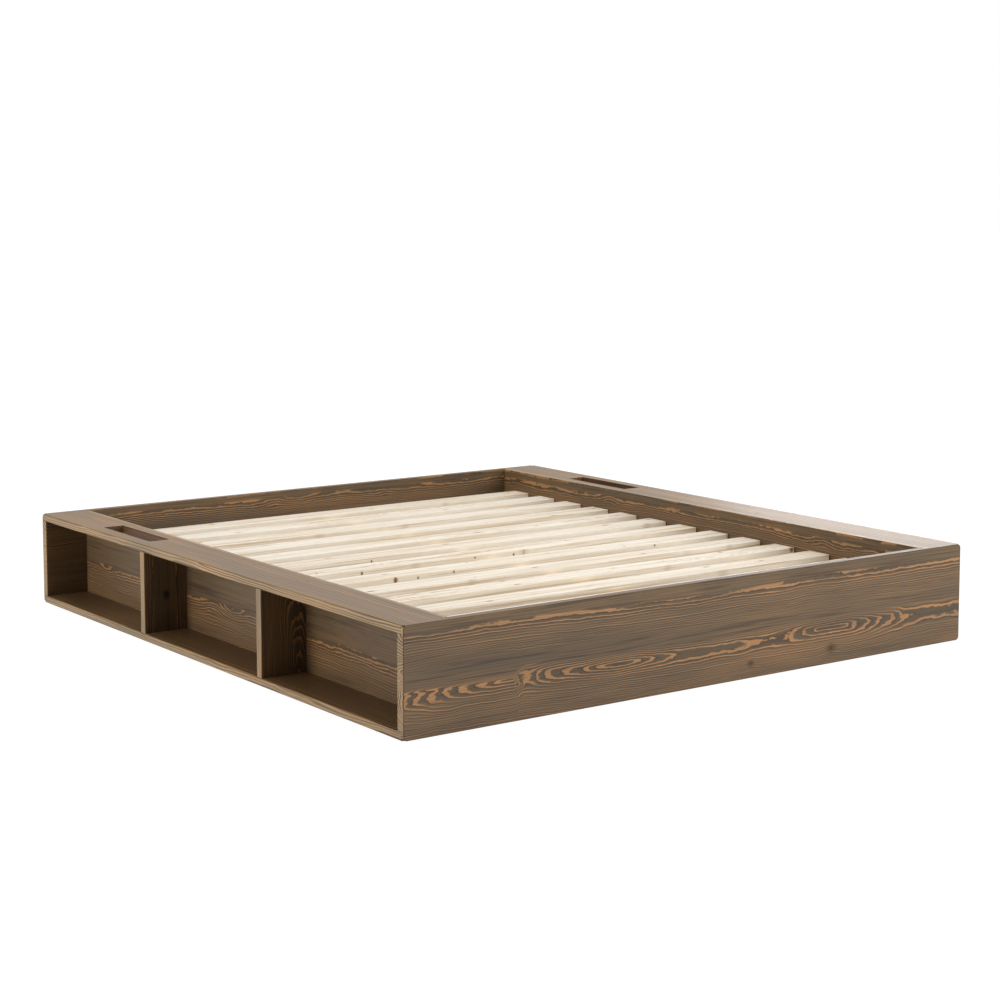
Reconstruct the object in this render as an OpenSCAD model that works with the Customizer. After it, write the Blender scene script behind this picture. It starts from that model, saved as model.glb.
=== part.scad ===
// Low storage bed frame for a 160 x 200 cm mattress.
// Two open-sided storage units run between a head panel and a foot panel,
// and a slatted base lies loose on rails inside them.
// X runs across the bed, +Y to the head, +Z up. The origin is on the floor, at the middle.

/* [Overall] */
// Outside width of the frame, across the bed
bed_w = 1914; // [1500:1:2200]
// Outside length of the frame, head to foot
bed_l = 2060; // [1900:1:2200]
// Height of the frame
bed_h = 280; // [240:1:360]

/* [Head and foot panels] */
// Thickness of a panel
panel_t = 28; // [22:0.5:32]
// Radius of a panel's four corners
panel_corner_r = 11; // [5:0.5:18]
// Part of a panel's thickness that is left outside its rebates
tongue_t = 10; // [7:0.5:13]

/* [Side units] */
// Width of a side unit over its side board
unit_w = 148; // [125:1:200]
// Thickness of the top and bottom boards
board_t = 22; // [18:0.5:28]
// Thickness of the side board next to the mattress
side_t = 12; // [10:0.5:16]
// Thickness of the dividers between the compartments
divider_t = 28; // [18:0.5:32]
// Radius of the softened long edges of all stained boards
arris_r = 3; // [1:0.25:4]

/* [Top slots] */
// Width of the slot in a top board
slot_w = 64; // [30:1:78]
// Length of the slot
slot_l = 306; // [120:1:480]
// Distance of the slot from the divider beside it
slot_gap = 18; // [12:1:60]
// Radius of the slot's corners
slot_r = 3; // [1:0.5:12]

/* [Slatted base] */
// Number of slats
slat_count = 13; // [9:1:15]
// Width of a slat
slat_w = 83; // [60:1:105]
// Thickness of a slat
slat_t = 18; // [14:0.5:24]
// Space between the first slat and the head panel
head_margin = 66; // [20:1:90]
// Space between the last slat and the foot panel, less because the base lies nearer the foot
foot_margin = 50; // [20:1:90]
// Space between a slat's end and the side board
slat_clear = 3; // [2:0.5:8]
// Radius of a slat's long edges
slat_r = 2; // [0.5:0.25:4]
// Depth of the mattress well, from the rim to the slats
well_depth = 70; // [50:1:100]
// Width of the tapes that tie the slats together
tape_w = 25; // [15:1:50]
// Thickness of the tapes
tape_t = 1.2; // [0.8:0.1:2.5]
// Distance of a tape's middle from the slat ends
tape_inset = 210; // [80:5:500]

/* [Supports under the slats] */
// Thickness of the rails that carry the slat ends
rail_t = 22; // [16:0.5:30]
// Height of the rails
rail_h = 40; // [30:1:55]
// Space between a rail's end and the panels
rail_clear = 2; // [0.5:0.5:5]
// Width of the centre beam
beam_w = 40; // [30:1:60]
// Height of the centre beam
beam_h = 80; // [60:1:100]
// Width of a square centre leg
leg_w = 50; // [40:1:70]
// Distance between the two centre legs
leg_spacing = 670; // [300:5:1200]
// Radius of the legs' upright edges
leg_r = 4; // [1:0.5:8]
// Diameter of the plastic glide under a leg
glide_d = 40; // [25:1:40]
// Height of a glide
glide_h = 5; // [3:0.5:10]

/* [Steel brackets] */
// Length of a corner bracket's two leaves
angle_leaf = 50; // [35:1:70]
// Thickness of a corner bracket
angle_t = 3; // [2:0.5:4]
// Radius inside a corner bracket's bend
angle_bend_r = 3; // [1:0.5:6]
// Radius of a corner bracket's free corners
angle_corner_r = 6; // [1:0.5:12]
// Space above the floor and below the rail, at a corner bracket
angle_space = 20; // [8:1:35]
// Depth of the beam hangers, along the beam
hanger_d = 42; // [25:1:80]
// Thickness of the beam hangers
hanger_t = 2; // [1.5:0.25:3]
// Width of a hanger's screw flanges
hanger_flange = 22; // [16:1:35]
// Space round the beam in its hanger
hanger_clear = 0.3; // [0.1:0.1:1]
// Height of the hanger's cheeks beside the beam
hanger_cheek_h = 58; // [40:1:60]
// Radius of the hanger's free corners
hanger_corner_r = 6; // [1:0.5:10]

/* [Dowels and screws] */
// Diameter of the dowels in the divider and side board joints
dowel_d = 8; // [5:0.5:10]
// Depth of a dowel in a board's edge or end
dowel_grip = 15; // [10:0.5:18]
// Number of dowels along a side board
edge_dowel_count = 7; // [4:1:12]
// Diameter of the dowels in the panels' rebates
ledge_dowel_d = 6; // [4:0.5:8]
// Depth of all dowels in the thickness of a board
dowel_bite = 12; // [8:0.5:14]
// Diameter of the screws
screw_d = 4; // [3:0.25:5]
// Diameter of the screw heads
screw_head_d = 8; // [6.5:0.25:9]
// Height of the screw heads
screw_head_h = 2.2; // [1.5:0.1:3]
// Length of the screws into the panels and the dividers' edges
long_screw = 22; // [12:1:24]
// Number of screws along a rail
rail_screw_count = 7; // [4:1:12]
// Diameter of the studs that hold the legs to the beam
stud_d = 8; // [6:0.5:10]
// Depth of a stud in the beam, and in the leg
stud_grip = 30; // [15:1:40]

/* [Hidden] */
$fn = 48;
// Space round every dowel, screw and stud in its hole
fit = 0.1;
// Wood left past the tip of a screw or dowel
skin = 4;
// How far a cut runs past the face it opens
over = 1;

well_w = bed_w - 2 * unit_w;
well_l = bed_l - 2 * panel_t;
half_w = bed_w / 2;
half_l = bed_l / 2;
// Board face next to the mattress, and its other face next to the compartments
inner_x = well_w / 2;
back_x = inner_x + side_t;
inner_y = well_l / 2;
board_w = unit_w - side_t;
board_l = bed_l - 2 * tongue_t;
bay_h = bed_h - 2 * board_t;
// Three equal compartments between two dividers
bay_l = (well_l - 2 * divider_t) / 3;
divider_y = (bay_l + divider_t) / 2;
slot_x = half_w - unit_w / 2;
slot_y = divider_y + divider_t / 2 + slot_gap + slot_l / 2;

slat_top = bed_h - well_depth;
slat_under = slat_top - slat_t;
slat_l = well_w - 2 * slat_clear;
slat_span = well_l - head_margin - foot_margin;
slat_pitch = (slat_span - slat_w) / (slat_count - 1);
tape_x = slat_l / 2 - tape_inset;

rail_bottom = slat_under - rail_h;
beam_bottom = slat_under - beam_h;
beam_l = well_l - 2 * hanger_t - 2 * hanger_clear;
leg_h = beam_bottom - glide_h;
angle_h = rail_bottom - 2 * angle_space;

ledge_y = inner_y + (panel_t - tongue_t) / 2;
ledge_xs = [back_x + board_w / 4, back_x + board_w * 3 / 4];
divider_xs = [back_x + board_w / 4, back_x + board_w * 3 / 4];
edge_ys = spread(board_l - 2 * board_w, edge_dowel_count);
rail_ys = spread(well_l - 4 * rail_h, rail_screw_count);
divider_zs = [rail_bottom / 3, rail_bottom * 2 / 3];
angle_zs = [for (k = [1, 3, 5]) angle_space + angle_h * k / 6];
angle_hole = angle_leaf * 0.6;
hanger_x = beam_w / 2 + hanger_clear + hanger_t + hanger_flange / 2;
hanger_zs = [beam_bottom + beam_h / 4, beam_bottom + beam_h * 3 / 4];
side_screw = angle_t + side_t - skin;
rail_screw = rail_t + side_t - skin;

slat_names = [for (i = [1:slat_count]) str("slat_", i < 10 ? "0" : "", i)];
sides = ["left", "right"];
ends = ["head", "foot"];

// Places at even steps over a length, symmetric about 0
function spread(length, count) = [for (i = [0:count - 1]) length * (i / (count - 1) - 0.5)];

// Rectangle whose corners, from bottom left and anticlockwise, are round where soft says 1
module soft_rect(size, r, soft) {
    w = size[0];
    h = size[1];
    translate([r, 0]) square([w - 2 * r, h]);
    translate([0, r]) square([w, h - 2 * r]);
    for (k = [0:3]) {
        right = k == 1 || k == 2 ? 1 : 0;
        upper = k > 1 ? 1 : 0;
        if (soft[k] == 1)
            translate([r + right * (w - 2 * r), r + upper * (h - 2 * r)]) circle(r);
        else
            translate([right * (w - r), upper * (h - r)]) square(r);
    }
}

// Profile in X and Z, run along Y, centred on y = 0
module along_y(length) {
    rotate([90, 0, 0]) linear_extrude(length, center = true) children();
}

// Profile in Y and Z, run along X, centred on x = 0
module along_x(length) {
    rotate([90, 0, 90]) linear_extrude(length, center = true) children();
}

// What is modelled on the right-hand side, put on either side
module on_side(side) {
    if (side == "left") mirror([1, 0, 0]) children();
    else children();
}

// What is modelled at the head, put at either end
module on_end(end) {
    if (end == "foot") mirror([0, 1, 0]) children();
    else children();
}

// Both sides and both ends at once
module on_corners() {
    for (s = sides, e = ends) on_side(s) on_end(e) children();
}

// Panel with round corners in its own plane and soft arrises all round
module soft_panel(w, h, t, r, arris) {
    translate([-w / 2 + r, 0, 0]) rotate([90, 0, 90]) linear_extrude(w - 2 * r)
        soft_rect([t, h], arris, [1, 1, 1, 1]);
    translate([-w / 2, 0, r]) linear_extrude(h - 2 * r)
        soft_rect([w, t], arris, [1, 1, 1, 1]);
    for (x = [-w / 2 + r, w / 2 - r], z = [r, h - r])
        translate([x, t, z]) rotate([90, 0, 0]) rotate_extrude() intersection() {
            translate([-r, 0]) soft_rect([2 * r, t], arris, [1, 1, 1, 1]);
            square([r, t]);
        }
}

// Rod along +X, +Y or +Z from its start, for a dowel, a stud, or its hole
module rod(d, length, axis) {
    turn = axis == "x" ? [0, 90, 0] : axis == "y" ? [-90, 0, 0] : [0, 0, 0];
    rotate(turn) cylinder(d = d, h = length);
}

// Screw along +X with its countersunk head flush at x = 0
module sunk_screw(length, extra = 0) {
    rotate([0, 90, 0]) {
        cylinder(d1 = screw_head_d + 2 * extra, d2 = screw_d + 2 * extra, h = screw_head_h);
        cylinder(d = screw_d + 2 * extra, h = length + extra);
    }
}

// Screw along +X with its pan head standing on x = 0
module pan_screw(length) {
    rotate([0, 90, 0]) {
        cylinder(d = screw_d, h = length);
        translate([0, 0, -screw_head_h]) cylinder(d = screw_head_d, h = screw_head_h);
    }
}

// Dowels that hold the top and bottom boards down in one panel's rebates
module ledge_dowel_set(d, extra = 0) {
    for (x = ledge_xs, z = [board_t - dowel_bite, bed_h - board_t - dowel_grip])
        translate([x, ledge_y, z - extra])
            rod(d, dowel_bite + dowel_grip + 2 * extra, "z");
}

// Dowels along the joints of one side board with its top and bottom boards
module edge_dowel_set(d, extra = 0) {
    for (y = edge_ys, z = [board_t / 2, bed_h - board_t / 2])
        translate([inner_x + skin - extra, y, z])
            rod(d, side_t - skin + dowel_grip + 2 * extra, "x");
}

// Dowels of the divider nearest the head, on one side
module divider_dowel_set(d, extra = 0) {
    for (x = divider_xs, z = [board_t - dowel_bite, bed_h - board_t - dowel_grip])
        translate([x, divider_y, z - extra])
            rod(d, dowel_bite + dowel_grip + 2 * extra, "z");
}

// Screws through the side board into the divider nearest the head
module divider_screw_set(extra = 0) {
    for (z = divider_zs)
        translate([inner_x - extra, divider_y, z])
            sunk_screw(side_t + long_screw + extra, extra);
}

// Screws through one rail into its side board
module rail_screw_set(extra = 0) {
    for (y = rail_ys)
        translate([inner_x - rail_t - extra, y, rail_bottom + rail_h / 2])
            sunk_screw(rail_screw + extra, extra);
}

// Screws through a corner bracket, into the side board and into the panel
module corner_screw_set() {
    for (z = angle_zs) {
        translate([inner_x - angle_t, inner_y - angle_hole, z]) pan_screw(side_screw);
        translate([inner_x - angle_hole, inner_y - angle_t, z]) rotate([0, 0, 90])
            pan_screw(long_screw);
    }
}

// Holes for those screws
module corner_hole_set() {
    for (z = angle_zs) {
        translate([inner_x - angle_t - over, inner_y - angle_hole, z])
            rod(screw_d + 2 * fit, side_screw + over + fit, "x");
        translate([inner_x - angle_hole, inner_y - angle_t - over, z])
            rod(screw_d + 2 * fit, long_screw + over + fit, "y");
    }
}

// Screws through the beam hanger's flanges into the panel
module hanger_screw_set() {
    for (x = [-hanger_x, hanger_x], z = hanger_zs)
        translate([x, inner_y - hanger_t, z]) rotate([0, 0, 90]) pan_screw(long_screw);
}

// Holes for those screws
module hanger_hole_set() {
    for (x = [-hanger_x, hanger_x], z = hanger_zs)
        translate([x, inner_y - hanger_t - over, z])
            rod(screw_d + 2 * fit, long_screw + over + fit, "y");
}

// Head or foot panel, rebated where the top and bottom boards end
module end_panel(end) {
    color("#8a6f55") on_end(end) difference() {
        translate([0, inner_y, 0]) soft_panel(bed_w, bed_h, panel_t, panel_corner_r, arris_r);
        for (s = sides) on_side(s) {
            for (z = [-over, bed_h - board_t])
                translate([back_x, inner_y - over, z])
                    cube([board_w + over, panel_t - tongue_t + over, board_t + over]);
            ledge_dowel_set(ledge_dowel_d + 2 * fit, fit);
            corner_hole_set();
        }
        hanger_hole_set();
    }
}

// Plain top or bottom board of a side unit, lying at height z
module flat_board(z) {
    translate([back_x, 0, z]) along_y(board_l)
        soft_rect([board_w, board_t], arris_r, [0, 1, 1, 0]);
}

// Holes that the top and bottom boards share
module board_holes() {
    for (e = ends) on_end(e) {
        ledge_dowel_set(ledge_dowel_d + 2 * fit, fit);
        divider_dowel_set(dowel_d + 2 * fit, fit);
    }
    edge_dowel_set(dowel_d + 2 * fit, fit);
}

// Top board, with its slot beside the divider nearest the head
module top_board(side) {
    color("#94826f") on_side(side) difference() {
        flat_board(bed_h - board_t);
        translate([slot_x - slot_w / 2, slot_y - slot_l / 2, bed_h - board_t - over])
            linear_extrude(board_t + 2 * over)
                soft_rect([slot_w, slot_l], slot_r, [1, 1, 1, 1]);
        board_holes();
    }
}

// Bottom board, which stands on the floor
module bottom_board(side) {
    color("#7a6450") on_side(side) difference() {
        flat_board(0);
        board_holes();
    }
}

// Full-height board between the compartments and the mattress
module side_board(side) {
    color("#6e5844") on_side(side) difference() {
        translate([inner_x, 0, 0]) along_y(well_l)
            soft_rect([side_t, bed_h], arris_r, [0, 0, 0, 1]);
        edge_dowel_set(dowel_d + 2 * fit, fit);
        rail_screw_set(fit);
        for (e = ends) on_end(e) {
            divider_screw_set(fit);
            corner_hole_set();
        }
    }
}

// Upright divider between two compartments
module divider(side, end) {
    color("#7d6852") on_side(side) on_end(end) difference() {
        translate([back_x, divider_y - divider_t / 2, board_t]) linear_extrude(bay_h)
            soft_rect([board_w, divider_t], arris_r, [0, 1, 1, 0]);
        divider_dowel_set(dowel_d + 2 * fit, fit);
        divider_screw_set(fit);
    }
}

// Rail on the side board, which carries the slat ends
module slat_rail(side) {
    color("#d9c3a0") on_side(side) difference() {
        translate([inner_x - rail_t, 0, rail_bottom]) along_y(well_l - 2 * rail_clear)
            soft_rect([rail_t, rail_h], slat_r, [1, 0, 0, 1]);
        rail_screw_set(fit);
    }
}

// Beam under the middle of the slats
module centre_beam() {
    color("#d6bf9c") difference() {
        translate([-beam_w / 2, 0, beam_bottom]) along_y(beam_l)
            soft_rect([beam_w, beam_h], slat_r, [1, 1, 1, 1]);
        leg_stud_set(stud_d + 2 * fit, fit);
    }
}

// Steel hanger on a panel, in which the beam's end lies
module beam_hanger(end) {
    trough_w = beam_w + 2 * hanger_clear;
    plate_w = 2 * hanger_x + hanger_flange;
    color("#b9bcc0") on_end(end) translate([0, inner_y, beam_bottom - hanger_t]) difference() {
        union() {
            translate([-plate_w / 2, 0, 0]) rotate([90, 0, 0]) linear_extrude(hanger_t)
                soft_rect([plate_w, beam_h], hanger_corner_r, [1, 1, 1, 1]);
            intersection() {
                translate([0, -hanger_d / 2, 0]) along_y(hanger_d) trough(trough_w);
                translate([0, -hanger_d, 0]) along_x(trough_w + 2 * hanger_t)
                    soft_rect([hanger_d, hanger_cheek_h], hanger_corner_r, [0, 0, 0, 1]);
            }
        }
        translate([0, -inner_y, hanger_t - beam_bottom]) hanger_hole_set();
    }
}

// Profile of the sheet that is bent up round the beam's underside
module trough(w) {
    difference() {
        translate([-w / 2 - hanger_t, 0])
            soft_rect([w + 2 * hanger_t, hanger_cheek_h], slat_r + hanger_t, [1, 1, 0, 0]);
        translate([-w / 2, hanger_t])
            soft_rect([w, hanger_cheek_h], slat_r, [1, 1, 0, 0]);
    }
}

// Square leg under the beam
module centre_leg(end) {
    color("#d6bf9c") on_end(end) difference() {
        translate([-leg_w / 2, (leg_spacing - leg_w) / 2, glide_h]) linear_extrude(leg_h)
            soft_rect([leg_w, leg_w], leg_r, [1, 1, 1, 1]);
        leg_stud_set(stud_d + 2 * fit, fit);
    }
}

// Plastic glide under each leg, with a turned edge
module leg_glides() {
    edge = glide_h / 3;
    color("#3a3633") for (e = ends) on_end(e) translate([0, leg_spacing / 2, 0]) {
        cylinder(d1 = glide_d - 2 * edge, d2 = glide_d, h = edge);
        translate([0, 0, edge]) cylinder(d = glide_d, h = glide_h - edge);
    }
}

// Stud that joins each leg to the beam
module leg_stud_set(d, extra = 0) {
    for (e = ends) on_end(e)
        translate([0, leg_spacing / 2, beam_bottom - stud_grip - extra])
            rod(d, 2 * (stud_grip + extra), "z");
}

// Steel angle in a corner of the well, below the slats
module corner_bracket(side, end) {
    color("#b9bcc0") on_side(side) on_end(end) difference() {
        translate([inner_x, inner_y, angle_space]) mirror([1, 0, 0]) mirror([0, 1, 0])
            intersection() {
                linear_extrude(angle_h) bent_strip();
                union() {
                    angle_outline();
                    mirror([1, -1, 0]) angle_outline();
                }
            }
        corner_hole_set();
    }
}

// Section of a corner bracket, with its corner at the origin
module bent_strip() {
    difference() {
        soft_rect([angle_leaf, angle_leaf], angle_bend_r + angle_t, [1, 0, 0, 0]);
        translate([angle_t, angle_t])
            soft_rect([angle_leaf, angle_leaf], angle_bend_r, [1, 0, 0, 0]);
    }
}

// Block with the round outline of the leaf that runs along X, deep enough to hold the bend
module angle_outline() {
    translate([0, angle_t + angle_bend_r, 0]) rotate([90, 0, 0])
        linear_extrude(angle_t + angle_bend_r)
            soft_rect([angle_leaf, angle_h], angle_corner_r, [0, 1, 1, 0]);
}

// One slat, counted from the head
module slat(i) {
    first_y = inner_y - head_margin - slat_w;
    color("#e6d7bf") translate([0, first_y - (i - 1) * slat_pitch, slat_under])
        along_x(slat_l) soft_rect([slat_w, slat_t], slat_r, [1, 1, 1, 1]);
}

// Tape under the slats, which keeps them at their spacing
module slat_tape(side) {
    color("#efeae0") on_side(side)
        translate([tape_x - tape_w / 2, foot_margin - inner_y, slat_under - tape_t])
            cube([tape_w, slat_span, tape_t]);
}

end_panel("head");  // head_panel
end_panel("foot");  // foot_panel
for (s = sides) {
    top_board(s);
    bottom_board(s);
    side_board(s);
    slat_rail(s);
    slat_tape(s);
    for (e = ends) {
        divider(s, e);
        corner_bracket(s, e);
    }
}
for (e = ends) {
    beam_hanger(e);
    centre_leg(e);
}
centre_beam();
leg_glides();
color("#b9bcc0") leg_stud_set(stud_d);  // leg_studs
color("#e0cda8") on_corners() ledge_dowel_set(ledge_dowel_d);  // ledge_dowels
color("#e0cda8") for (s = sides) on_side(s) edge_dowel_set(dowel_d);  // edge_dowels
color("#e0cda8") on_corners() divider_dowel_set(dowel_d);  // divider_dowels
color("#c4c6c9") on_corners() divider_screw_set();  // divider_screws
color("#c4c6c9") for (s = sides) on_side(s) rail_screw_set();  // rail_screws
color("#c4c6c9") on_corners() corner_screw_set();  // corner_screws
color("#c4c6c9") for (e = ends) on_end(e) hanger_screw_set();  // hanger_screws
for (i = [1:slat_count]) slat(i);
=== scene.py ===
import math
from typing import NamedTuple

import bpy
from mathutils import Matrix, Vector


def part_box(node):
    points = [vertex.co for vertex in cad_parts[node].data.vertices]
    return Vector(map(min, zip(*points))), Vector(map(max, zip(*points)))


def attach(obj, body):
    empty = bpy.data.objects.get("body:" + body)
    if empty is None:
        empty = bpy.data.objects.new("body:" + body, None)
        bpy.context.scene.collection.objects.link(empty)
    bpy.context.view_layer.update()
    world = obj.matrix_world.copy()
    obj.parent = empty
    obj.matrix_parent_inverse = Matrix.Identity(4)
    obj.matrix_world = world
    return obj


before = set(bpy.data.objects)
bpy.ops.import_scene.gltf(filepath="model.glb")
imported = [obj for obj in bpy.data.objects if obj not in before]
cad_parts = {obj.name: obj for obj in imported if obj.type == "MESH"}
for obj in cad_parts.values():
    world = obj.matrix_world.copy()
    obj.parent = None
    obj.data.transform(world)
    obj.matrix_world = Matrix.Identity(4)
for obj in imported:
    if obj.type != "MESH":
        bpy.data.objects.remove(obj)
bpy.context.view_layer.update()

bl_info = {
    "name": "Storage bed frame",
    "version": (1, 0, 0),
    "blender": (4, 5, 0),
    "location": "View3D > Sidebar > Bed frame",
    "description": "Finishes a storage bed frame of stained pine with a pale slatted base, and its studio",
    "category": "Object",
}

SLATS = sorted(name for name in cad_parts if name.startswith("slat_"))
TAPES = ("left_slat_tape", "right_slat_tape")

# The order of a board's own directions: along the grain, across its face, through its thickness
LYING_ACROSS = "XZY"
LYING_ALONG = "YXZ"
ON_EDGE_ALONG = "YZX"
UPRIGHT = "ZXY"
SLAT_WAY = "XYZ"


class Cut(NamedTuple):
    """How a stained board was cut from its log, in metres from the board's middle.

    Heart, depth and above may change along the board: then they are points of (along, value).
    """

    way: str                    # the order of the board's own directions
    face: int                   # which face lies nearest the pith, -1 or 1 along the thickness
    heart: object               # where the heart runs across that face
    seed: float                 # which part of the noise the board shows
    depth: object = 0.012       # how deep the pith lies below that face
    spacing: float = 0.60       # how far apart two hearts are
    plain: float = 0.0          # how wide the plain wood over the heart is
    next_depth: float = 0.012   # the depth and the plain wood of the next heart
    next_plain: float = 0.0
    above: object = 0.0         # how much the rings fade above the heart, 0 to 1
    reach: float = 0.040        # how far the orange bands reach from the heart
    gap: float = 0.0082         # distance between rings near the pith
    wave: float = 1.0           # how much the rings wander
    steep: float = 0.5          # how fast they change through the thickness
    strength: float = 1.0       # how strong they show
    tone: tuple = (1.0, 1.0, 1.0)   # what the board's colour is multiplied by
    eyes: tuple = ()            # bulges of the rings: (along, across, reach, lift)
    knots: tuple = ()           # (along, across, radius)
    knot_tone: float = 1.0      # what the colour of its knots is multiplied by


FOOT_HEART = (
    (-0.957, -0.030), (-0.62, -0.033), (-0.48, -0.036), (-0.35, -0.038), (-0.20, -0.038), (0.10, -0.044),
    (0.30, -0.040), (0.42, -0.036), (0.55, -0.038), (0.957, -0.040),
)
FOOT_DEPTH = (
    (-0.957, 0.0520), (-0.80, 0.0260), (-0.70, 0.0110), (-0.642, 0.0030), (-0.630, 0.0080), (-0.606, 0.0370),
    (-0.560, 0.0300), (-0.510, 0.0200), (-0.460, 0.0140), (-0.405, 0.0080), (-0.355, 0.0030),
    (-0.260, 0.0030), (-0.212, 0.0073), (-0.165, 0.0112), (-0.125, 0.0155), (-0.085, 0.0188),
    (0.080, 0.0200), (0.163, 0.0240), (0.255, 0.0258), (0.303, 0.0228), (0.343, 0.0150),
    (0.378, 0.0073), (0.405, 0.0025), (0.485, 0.0030), (0.530, 0.0130), (0.590, 0.0250),
    (0.700, 0.0400), (0.760, 0.0462), (0.957, 0.0480),
)
FOOT_ABOVE = ((-0.957, 1.0), (-0.66, 1.0), (-0.58, 0.5), (0.957, 0.5))
BOARD_CUTS = {
    "foot_panel": Cut(
        LYING_ACROSS, -1, heart=FOOT_HEART, seed=3.1, depth=FOOT_DEPTH, spacing=0.170, next_plain=0.018,
        above=FOOT_ABOVE, reach=0.040, gap=0.0095, wave=1.2, tone=(0.97, 0.96, 0.94),
        eyes=((-0.300, -0.038, 0.034, -0.0120),), knots=((0.148, -0.100, 0.0100), (0.445, -0.097, 0.0150)),
    ),
    "head_panel": Cut(
        LYING_ACROSS, -1, heart=0.128, seed=8.4, plain=0.006, reach=0.055, wave=1.3,
        tone=(0.88, 0.83, 0.71), eyes=((-0.14, 0.108, 0.020, 0.010), (0.30, 0.100, 0.012, 0.008)),
    ),
    "left_top_board": Cut(
        LYING_ALONG, 1, heart=0.150, seed=12.7, depth=0.05, reach=0.0, gap=0.031, steep=3.5, strength=0.75,
        tone=(1.16, 1.14, 1.04), knots=((-0.42, 0.033, 0.0050), (-0.13, 0.033, 0.0055)),
    ),
    # Its tone lightens and greys the board: painted sheen, the top's grazing reflection put into its colour
    "right_top_board": Cut(
        LYING_ALONG, 1, heart=-0.150, seed=15.3, depth=0.05, reach=0.110, gap=0.040, steep=3.5,
        strength=0.8, tone=(1.32, 1.36, 1.34), knots=((-0.77, -0.017, 0.0050), (-0.27, -0.025, 0.0065)),
    ),
    # The bottom boards' tone is painted shade: it darkens the compartments' floors for the shade under the
    # top boards
    "left_bottom_board": Cut(
        LYING_ALONG, 1, heart=-0.100, seed=17.9, depth=0.03, reach=0.030, gap=0.0200, steep=3.5,
        tone=(0.64, 0.59, 0.47),
    ),
    "right_bottom_board": Cut(
        LYING_ALONG, 1, heart=0.100, seed=19.2, depth=0.03, reach=0.030, gap=0.0200, steep=3.5,
        tone=(0.64, 0.59, 0.47),
    ),
    "left_side_board": Cut(
        ON_EDGE_ALONG, -1, heart=0.042, seed=23.5, plain=0.054, reach=0.050, gap=0.0112, wave=1.9,
        tone=(1.14, 1.07, 0.95), knots=((0.937, -0.085, 0.0028),),
        eyes=((0.16, -0.034, 0.026, 0.020), (0.05, -0.020, 0.028, -0.016), (0.86, -0.022, 0.018, -0.010)),
    ),
    "right_side_board": Cut(
        ON_EDGE_ALONG, -1, heart=0.126, seed=27.1, plain=0.008, reach=0.040, gap=0.0080, wave=1.5,
        tone=(1.10, 1.08, 1.03), eyes=((0.40, 0.105, 0.018, 0.010), (-0.62, 0.100, 0.018, 0.010)),
        knots=((-0.83, 0.085, 0.0120),),
    ),
    # The dividers' tones are painted shade: they darken the dividers for the shade inside the compartments
    "left_divider_head": Cut(
        UPRIGHT, -1, heart=0.0, seed=31.4, plain=0.034, reach=0.028, tone=(0.60, 0.52, 0.41),
        knots=((-0.012, 0.001, 0.0125),), knot_tone=0.25,
    ),
    "left_divider_foot": Cut(
        UPRIGHT, -1, heart=0.044, seed=34.8, depth=((-0.118, 0.004), (0.118, 0.046)), wave=1.2,
        tone=(0.66, 0.57, 0.44),
    ),
    "right_divider_head": Cut(UPRIGHT, -1, heart=0.020, seed=37.2, plain=0.020, tone=(0.64, 0.55, 0.42)),
    "right_divider_foot": Cut(UPRIGHT, -1, heart=-0.030, seed=39.6, plain=0.010, tone=(0.64, 0.55, 0.42)),
}
# The slats' larger knots, as (x, y, z, radius) in the bed
SLAT_KNOTS = (
    (0.082, -0.050, 0.198, 0.0045), (-0.363, -0.200, 0.200, 0.0040), (-0.240, -0.200, 0.204, 0.0040),
    (0.508, -0.200, 0.204, 0.0035), (-0.456, -0.050, 0.200, 0.0050), (-0.439, -0.200, 0.202, 0.0085),
    (-0.328, 0.101, 0.199, 0.0040), (-0.589, -0.020, 0.210, 0.0060), (0.796, -0.505, 0.206, 0.0110),
    (-0.060, -0.050, 0.204, 0.0035), (-0.148, -0.131, 0.210, 0.0045), (-0.255, -0.326, 0.210, 0.0045),
    (0.573, -0.420, 0.210, 0.0050), (0.398, -0.188, 0.210, 0.0050),
)

WHITE = (1.0, 1.0, 1.0)


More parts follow.
